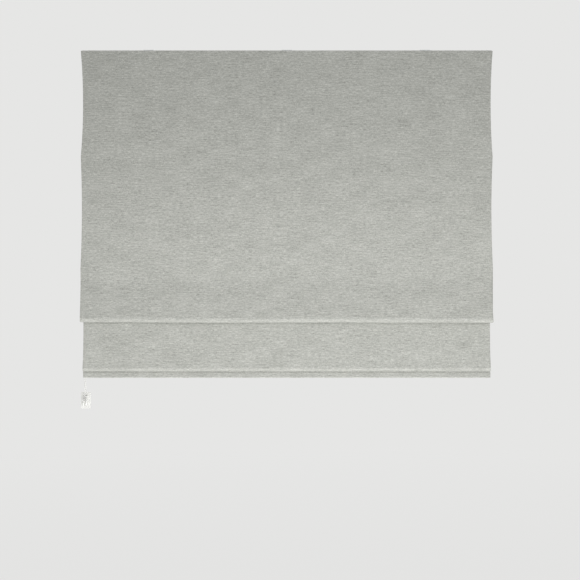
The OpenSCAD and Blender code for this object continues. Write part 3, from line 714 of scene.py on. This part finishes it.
def new_tree(name, **sizes):
    """A geometry tree with an input for each named size in millimetres, and one for its finish."""
    tree = bpy.data.node_groups.new(name, "GeometryNodeTree")
    tree.interface.new_socket("Geometry", in_out="INPUT", socket_type="NodeSocketGeometry")
    for label, size in sizes.items():
        socket = tree.interface.new_socket(label, in_out="INPUT", socket_type="NodeSocketFloat")
        socket.default_value = size * MM
    tree.interface.new_socket("Finish", in_out="INPUT", socket_type="NodeSocketMaterial")
    tree.interface.new_socket("Geometry", in_out="OUTPUT", socket_type="NodeSocketGeometry")
    return tree, add(tree, "NodeGroupInput").outputs


def end_tree(tree, grown_parts, finish):
    """Joins what a tree has grown, makes it real and gives it its finish."""
    whole = add(tree, "GeometryNodeJoinGeometry")
    for part in grown_parts:
        tree.links.new(part, whole.inputs[0])
    real = add(tree, "GeometryNodeRealizeInstances", {"Geometry": whole.outputs[0]})
    dressed = add(tree, "GeometryNodeSetMaterial", {"Geometry": real.outputs[0], "Material": finish})
    add(tree, "NodeGroupOutput", {0: dressed.outputs[0]})
    return tree


def curve_of(name, *lines):
    """A curve with a poly spline through each line of points in metres."""
    curve = bpy.data.curves.new(name, "CURVE")
    curve.dimensions = "3D"
    for line in lines:
        spline = curve.splines.new("POLY")
        spline.points.add(len(line) - 1)
        for point, place in zip(spline.points, line):
            point.co = (*place, 1)
    return curve


# Bead chain: round beads moulded at an even pitch on a thread,
# in a loop over the wheel and under the tidy's post
def chain_tree():
    tree, sizes = new_tree("bead_chain", Pitch=BEAD_PITCH, Bead=BEAD_R, Thread=CHAIN_THREAD_R)
    spots = add(tree, "GeometryNodeCurveToPoints", {
        "Curve": sizes["Geometry"], "Length": sizes["Pitch"]}, mode="LENGTH").outputs
    ball = add(tree, "GeometryNodeMeshUVSphere", {"Segments": 10, "Rings": 7, "Radius": sizes["Bead"]})
    bead = add(tree, "GeometryNodeSetShadeSmooth", {"Geometry": ball.outputs["Mesh"]})
    beads = add(tree, "GeometryNodeInstanceOnPoints", {
        "Points": spots["Points"], "Instance": bead.outputs[0], "Rotation": spots["Rotation"]})
    ring = add(tree, "GeometryNodeCurvePrimitiveCircle", {"Resolution": 6, "Radius": sizes["Thread"]})
    thread = add(tree, "GeometryNodeCurveToMesh", {
        "Curve": sizes["Geometry"], "Profile Curve": ring.outputs["Curve"]})
    return end_tree(tree, [beads.outputs[0], thread.outputs[0]], sizes["Finish"])


QUARTER_STEPS = 20
STRAND_STEPS = 33


def chain_arc(first, last, drop):
    """Points in (y, z) round the wheel's axis, from one quarter turn to another, at a drop below it."""
    steps = QUARTER_STEPS * (last - first)
    angles = [math.pi / 2 * (first + i / QUARTER_STEPS) for i in range(steps + 1)]
    return [(WHEEL_R * math.cos(a), WHEEL_R * math.sin(a) - drop) for a in angles]


def chain_path():
    """The loop's points in metres, from the top of the wheel down the front strand and back up."""
    levels = [-CHAIN_DROP * i / STRAND_STEPS for i in range(1, STRAND_STEPS)]
    loop = chain_arc(1, 2, 0) + [(-WHEEL_R, z) for z in levels]
    loop += chain_arc(2, 4, CHAIN_DROP) + [(WHEEL_R, z) for z in reversed(levels)]
    loop += chain_arc(0, 1, 0)
    return [(CHAIN_X * MM, (AXIS_Y + y) * MM, (AXIS_Z + z) * MM) for y, z in loop]


CHAIN_POINTS = chain_path()
chain = grown("white_bead_chain", curve_of("chain_line", CHAIN_POINTS), chain_tree(), Finish=BEAD)


# Sewing stitches: short rounded dashes of thread along a line, each a ball one metre across that is scaled
# to the stitch's length and thickness
def stitch_tree():
    tree, sizes = new_tree("stitches", Pitch=4, Length=2.8, Thickness=0.5)
    spots = add(tree, "GeometryNodeCurveToPoints", {
        "Curve": sizes["Geometry"], "Length": sizes["Pitch"]}, mode="LENGTH").outputs
    ball = add(tree, "GeometryNodeMeshUVSphere", {"Segments": 6, "Rings": 4, "Radius": 0.5})
    stitch = add(tree, "GeometryNodeSetShadeSmooth", {"Geometry": ball.outputs["Mesh"]})
    stretch = add(tree, "ShaderNodeCombineXYZ", {
        "X": sizes["Thickness"], "Y": sizes["Thickness"], "Z": sizes["Length"]})
    dashes = add(tree, "GeometryNodeInstanceOnPoints", {
        "Points": spots["Points"], "Instance": stitch.outputs[0], "Rotation": spots["Rotation"],
        "Scale": stretch.outputs[0]})
    return end_tree(tree, [dashes.outputs[0]], sizes["Finish"])


STITCHES = stitch_tree()


def stitch_lines(name, lines, body, **sizes):
    """Stitches along lines of points in metres, which ride on a body."""
    stitches = grown(name, curve_of(name + "_lines", *lines), STITCHES, Finish=THREAD, **sizes)
    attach(stitches, body)
    return stitches


def straight_row(half_length, y, z):
    """The two ends in metres of a straight row of stitches across the blind."""
    return [Vector((side * half_length, y, z)) * MM for side in (-1, 1)]


def tape_length(bm, outline, steps, sway):
    """Adds a closed outline of (y, z) along a tape's length, raised at each step by its sway."""
    rows = []
    for i in range(steps + 1):
        x = POCKET_HALF_W * (2 * i / steps - 1)
        rows.append([bm.verts.new(Vector((x, y, z + sway(i))) * MM) for y, z in outline])
    for a, b in zip(rows, rows[1:]):
        for k in range(len(outline)):
            n = (k + 1) % len(outline)
            bm.faces.new((a[k], a[n], b[n], b[k]))
    return rows


# Half a pocket tape's strip, from its edge to the tunnel: out from its face, and up from the rod
STRIP = [(0, STRIP_H / 2 - 0.1), (0.2, STRIP_H / 2), (POCKET_WALL, STRIP_H / 2 - 0.15), (POCKET_WALL, 3.6),
         (0.75, 2.7)]
TUNNEL_TURN = 125
TUNNEL_STEPS = 12
BORE_STEPS = 20
# The tape's steps along its length, how far its outline sways up and down, and the sway's radians a step
POCKET_STEPS = 82
POCKET_SWAY = 0.12
POCKET_SWAY_TURN = 1.7


def circle_point(y, z, radius, degrees):
    """A point in (y, z) of a circle round a rod or a tape's edge."""
    a = math.radians(degrees)
    return (y + radius * math.cos(a), z + radius * math.sin(a))


def rod_pocket(name, y, z, lean):
    """A tape sewn flat at its edges with a tunnel for the rod between, at the point y, z of the cloth.
    Above the rod its strip leans off the cloth by this much for each millimetre.
    """
    middle = y + ROD_IN
    face = middle - POCKET_R
    outer = [(face, z)] + [(face + out + lean * up, z + up) for out, up in STRIP]
    for i in range(TUNNEL_STEPS + 1):
        outer.append(circle_point(middle, z, POCKET_R, TUNNEL_TURN * (1 - 2 * i / TUNNEL_STEPS)))
    outer += [(face + out, z - up) for out, up in reversed(STRIP)]
    bore_r = POCKET_R - POCKET_WALL
    inner = [circle_point(middle, z, bore_r, 360 * i / BORE_STEPS) for i in range(BORE_STEPS)]
    bm = bmesh.new()
    walls = [
        tape_length(bm, outer, POCKET_STEPS, lambda i: POCKET_SWAY * math.sin(POCKET_SWAY_TURN * i + z)),
        tape_length(bm, inner, POCKET_STEPS, lambda i: 0)]
    for side in bm.faces:
        side.smooth = True
    for end in (0, -1):
        edges = []
        for rows in walls:
            row = rows[end]
            edges += [bm.edges.get((row[k - 1], row[k])) for k in range(len(row))]
        bmesh.ops.triangle_fill(bm, use_beauty=True, edges=edges)
    bmesh.ops.recalc_face_normals(bm, faces=bm.faces)
    crease(bm)
    return piece_of(name, bm, TAPE)


# Rod pockets with a row of stitches each side of the rod: the cloth's place there, body and lean.
# The middle tape leans off the lining, which tilts over it as the drop shortens.
POCKETS = {
    "upper": (FACE_Y, UPPER_ROD, "upper_rod", 0),
    "middle": (MIDDLE_Y, MIDDLE_ROD, "folds", 0.14),
    "lowest": (LAST_Y, LOWEST_ROD, "folds", 0)}
STITCH_ROW = 4.6
ROW_END_IN = 3.0
for label, (y, z, body, lean) in POCKETS.items():
    stand_for(rod_pocket(f"{label}_pocket_tape", y, z, lean), body, f"{label}_rod_pocket")
    back = y + ROD_IN - POCKET_R + POCKET_WALL
    stitch_lines(f"{label}_pocket_stitches", [
        straight_row(POCKET_HALF_W - ROW_END_IN, back, z - STITCH_ROW),
        straight_row(POCKET_HALF_W - ROW_END_IN, back + lean * STITCH_ROW, z + STITCH_ROW)], body)

# Slip stitches that join the lining to the turned side hems, and the row that closes the hem behind
SEAM_ON_HEM = 2.5
SEAM_X = HALF_W - SIDE_HEM_W + SEAM_ON_HEM
SEAM_OFF = SIDE_HEM_OUT + FIT
SEAM_END_IN = 4.0
HEM_ROW_DROP = 5.0
SLIP_STITCH = {"Pitch": 9 * MM, "Length": 3.2 * MM, "Thickness": 0.6 * MM}


def seam_lines(line, start, end):
    """The seams at the two side hems, as far as a length along the cloth."""
    rows = list(zip(line, line_normals(line), line_lengths(line, start)))
    return [[cloth_place(x, SEAM_OFF, p, n, s) for p, n, s in rows if s < end] for x in (-SEAM_X, SEAM_X)]


drop_rows = seam_lines(drop_line, 0, math.inf)
fold_rows = seam_lines(fold_line, DROP_LENGTH, STITCH_S - SEAM_END_IN)
drop_seams = stitch_lines("side_seam_stitches_drop", drop_rows, "headrail", **SLIP_STITCH)
stitch_lines("side_seam_stitches_folds", fold_rows, "folds", **SLIP_STITCH)
hem_row = straight_row(HALF_W - HEM_END_IN - ROW_END_IN, HEM_BACK_Y + HALF_T, STITCH_Z - HEM_ROW_DROP)
stitch_lines("hem_stitches", [hem_row], "folds")

# Hook and loop tapes, with soft rounded edges and a slightly uneven pile
PILE_EDGE_R = 0.4
PILE_STEPS = 60
PILE_SWAY = 0.15
PILE_SWAY_TURN = 2.3


def pile_strip(name, front):
    """A strip of hook or loop tape whose front face lies at this y."""
    r = PILE_EDGE_R
    ys = (front + r, front + TAPE_T - r)
    zs = (TAPE_TOP - r, TAPE_TOP - TAPE_H + r)
    outline = []
    for y, z, start in ((ys[0], zs[0], 90), (ys[0], zs[1], 180), (ys[1], zs[1], 270), (ys[1], zs[0], 0)):
        outline += [circle_point(y, z, r, start + 30 * i) for i in range(4)]
    bm = bmesh.new()
    rows = tape_length(bm, outline, PILE_STEPS, lambda i: PILE_SWAY * math.sin(PILE_SWAY_TURN * i + front))
    bm.faces.new(rows[0])
    bm.faces.new(rows[-1])
    bmesh.ops.recalc_face_normals(bm, faces=bm.faces)
    return piece_of(name, bm, PILE)


for label, front in (("hook", RAIL_FRONT - TAPE_T), ("loop", RAIL_FRONT - 2 * TAPE_T)):
    stand_for(pile_strip(f"{label}_pile_tape", front), "headrail", f"{label}_tape")

# The drop, its seams and the lift cords ride on the headrail, each with a mesh of its own, and the folds
# travel whole
stand_for(face_drop, "headrail", "face_fabric_drop")
stand_for(lining_drop, "headrail", "lining_drop")
stand_for(face_folds, "folds", "face_fabric_folds")
stand_for(lining_folds, "folds", "lining_folds")
stand_for(wound_cords, "drive", "wound_cords")
for piece in (face_drop, lining_drop, drop_seams):
    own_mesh(piece)
for i, piece in enumerate(lift_cords, 1):
    stand_for(piece, "headrail", f"lift_cord_{i}")
    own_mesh(piece)

stand_for(chain, "headrail", "bead_chain")

# Finishes of the CAD pieces that stay as they are
SPOOLS = range(1, len(CORD_X) + 1)
FINISHES = {
    POWDER_COAT: ["headrail"],
    ZINC: ["bracket_left", "bracket_centre", "bracket_right"],
    STEEL: ["cover_screws", "brake_spring", "weight_bar"],
    ALUMINIUM: ["drive_shaft"],
    GLASS_FIBRE: ["upper_rod", "middle_rod", "lowest_rod"],
    BEAD: ["upper_cord_rings", "middle_cord_rings", "cord_anchors"],
    MOULDING: ["control_housing", "control_cover", "brake_core", "chain_wheel", "end_bush", "end_cap",
               "tidy_body", "tidy_cover", "weight_bar_caps", *(f"spool_{i}" for i in SPOOLS),
               *(f"spool_cradle_{i}" for i in SPOOLS)]}
for finish, names in FINISHES.items():
    for name in names:
        mesh = nodes[name].data
        mesh.materials.clear()
        mesh.materials.append(finish)

# Stage: a wide pale floor, as far below the blind as in a room, in metres. Near the blind it keeps a faint
# shadow, and further off it is as bright to the eye as the room behind it.
SEEN_GREY = linear("#e6e6e5")
FLOOR_GREY = linear("#f0f0ef")
FLOOR_Z = -2.1
FLOOR_R = 60.0
NEAR, FAR = 3.0, 9.0
GLOW_NEAR, GLOW_FAR = 0.92, 1.0


def seen_ray(tree):
    """One where the camera, a reflection or a glass sees the surface, and nought where it only lights."""
    ray = add(tree, "ShaderNodeLightPath").outputs
    seen = ray["Is Camera Ray"]
    for way in ("Is Glossy Ray", "Is Transmission Ray"):
        seen = add(tree, "ShaderNodeMath", {0: seen, 1: ray[way]}, operation="MAXIMUM").outputs[0]
    return seen


def pale_floor():
    """The floor, in matt paint that glows where it is seen."""
    paint, tree, shader = new_material("pale_matt_paint", {"Base Color": FLOOR_GREY, "Roughness": 0.9})
    glow = add(tree, "ShaderNodeEmission", {"Color": SEEN_GREY, "Strength": 1.0})
    place = add(tree, "ShaderNodeTexCoord").outputs["Object"]
    away = add(tree, "ShaderNodeVectorMath", {0: place}, operation="LENGTH").outputs["Value"]
    fade = add(tree, "ShaderNodeMapRange", {
        "Value": away, "From Min": NEAR, "From Max": FAR, "To Min": GLOW_NEAR, "To Max": GLOW_FAR})
    share = add(tree, "ShaderNodeMath", {0: seen_ray(tree), 1: fade.outputs[0]}, operation="MULTIPLY")
    both = add(tree, "ShaderNodeMixShader", {0: share.outputs[0], 1: shader.outputs[0], 2: glow.outputs[0]})
    tree.links.new(both.outputs[0], tree.nodes["Material Output"].inputs["Surface"])
    bm = bmesh.new()
    bmesh.ops.create_circle(bm, cap_ends=True, segments=64, radius=FLOOR_R)
    bmesh.ops.translate(bm, verts=bm.verts, vec=(0, 0, FLOOR_Z))
    return piece_of("pale_floor", bm, paint)


pale_floor()

# Lamps: place, target and size in metres, and power in watts. They are a soft box from the front right,
# a strip above the fold that leaves a shadow under it, a wide box below and a box that lights the back.
SOFT_BOXES = {
    "front_box": ((0.55, -2.1, -1.0), (0, 0, -0.75), (1.6, 0.9), 11.8),
    "near_box": ((0, -0.52, -0.58), (0, 0, -0.7), (2.0, 0.12), 1.1),
    "low_box": ((0, -0.45, -1.75), (0, -0.44, 0), (2.4, 1.4), 16.0),
    "back_box": ((0.3, 1.2, 0.4), (0, 0, -0.5), (1.2, 1.2), 8.0)}
for name, (place, target, size, power) in SOFT_BOXES.items():
    lamp = put(name, bpy.data.lights.new(name, "AREA"))
    lamp.data.shape = "RECTANGLE"
    lamp.data.size, lamp.data.size_y = size
    lamp.data.energy = power
    lamp.location = place
    lamp.rotation_euler = (Vector(target) - Vector(place)).to_track_quat("-Z", "Y").to_euler()
    lamp.visible_camera = False

# Room: even white light, and a pale grey where the eye sees past the blind
ROOM_LIGHT = 0.54
world = bpy.data.worlds.new("soft_room")
bpy.context.scene.world = world
world.use_nodes = True
room = world.node_tree
light = room.nodes["Background"]
light.inputs["Color"].default_value = (1, 1, 1, 1)
light.inputs["Strength"].default_value = ROOM_LIGHT
backdrop = add(room, "ShaderNodeBackground", {"Color": SEEN_GREY, "Strength": 1.0})
both = add(room, "ShaderNodeMixShader", {0: seen_ray(room), 1: light.outputs[0], 2: backdrop.outputs[0]})
room.links.new(both.outputs[0], room.nodes["World Output"].inputs["Surface"])
bpy.context.scene.view_settings.view_transform = "Standard"
